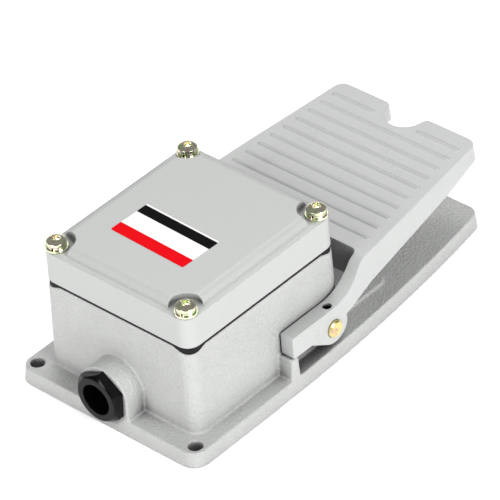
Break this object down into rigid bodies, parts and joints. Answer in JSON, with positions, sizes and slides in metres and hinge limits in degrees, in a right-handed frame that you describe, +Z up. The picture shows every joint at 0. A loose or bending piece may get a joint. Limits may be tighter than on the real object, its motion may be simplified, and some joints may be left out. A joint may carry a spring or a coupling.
{
  "type": "industrial foot switch",
  "caption": "Foot switch: a sealed cast switch box on a drilled base plate, with a cable gland and a ribbed treadle pedal whose arms straddle the box.",
  "frame": {"origin": "middle of the base plate's underside, midway between its two ends and its two sides", "axes": "+X from the cable gland to the pedal's toe, +Y across the pedal along its shaft, +Z up from the floor"},
  "size_m": [0.255, 0.1274, 0.0891],
  "materials": {
    "body_paint": "light grey hammertone enamel",
    "cover_paint": "light grey smooth enamel",
    "pedal_paint": "light grey enamel",
    "gasket_rubber": "matt black",
    "seal_rubber": "matt black",
    "gland_plastic": "black moulded plastic",
    "zinc_yellow": "iridescent yellow zinc plate",
    "zinc_yellow_shaft": "iridescent yellow zinc plate",
    "plain_steel": "bright zinc plate",
    "black_steel": "blackened steel",
    "spring_steel": "drawn spring wire",
    "bronze": "sintered bronze",
    "terminal_brass": "pressed brass",
    "switch_plastic": "black phenolic",
    "plunger_plastic": "red moulded plastic",
    "earth_green": "green passivated",
    "label_print": "printed film, no lettering"
  },
  "bodies": {
    "housing": {"base_casting": "body_paint", "cover_gasket": "gasket_rubber", "cover": "cover_paint", "cover_flat_washers": "zinc_yellow", "cover_spring_washers": "zinc_yellow", "cover_screws": "zinc_yellow", "label": "label_print", "gland_seal": "seal_rubber", "gland_washer": "plain_steel", "gland_nut": "gland_plastic", "shaft_bushes": "bronze", "shaft_o_rings": "seal_rubber", "return_spring": "spring_steel", "switch_bracket": "plain_steel", "bracket_screws": "plain_steel", "switch_case": "switch_plastic", "switch_terminals": "terminal_brass", "terminal_screws": "plain_steel", "switch_mount_screws": "plain_steel", "switch_mount_nuts": "plain_steel", "earth_washer": "terminal_brass", "earth_screw": "earth_green"},
    "treadle": {"pedal": "pedal_paint", "pivot_shaft": "zinc_yellow_shaft", "arm_set_screws": "black_steel", "cam_lever": "plain_steel", "cam_set_screw": "black_steel"},
    "plunger": {"switch_plunger": "plunger_plastic"}
  },
  "joints": [
    {"name": "pedal_hinge", "type": "hinge", "parent": "housing", "child": "treadle", "pos_m": [-0.0134, 0, 0.0222], "axis": [0, 1, 0], "range_deg": [0, 12], "stiffness_Nm_per_rad": 11, "springref_deg": -9.74, "deforming": ["return_spring"]},
    {"name": "plunger_slide", "type": "slide", "parent": "housing", "child": "plunger", "axis": [0, 0, 1], "range_m": [0, 0.0039]}
  ],
  "couplings": [
    {"joint": "plunger_slide", "follows": "pedal_hinge", "m_per_rad": 0.018}
  ]
}
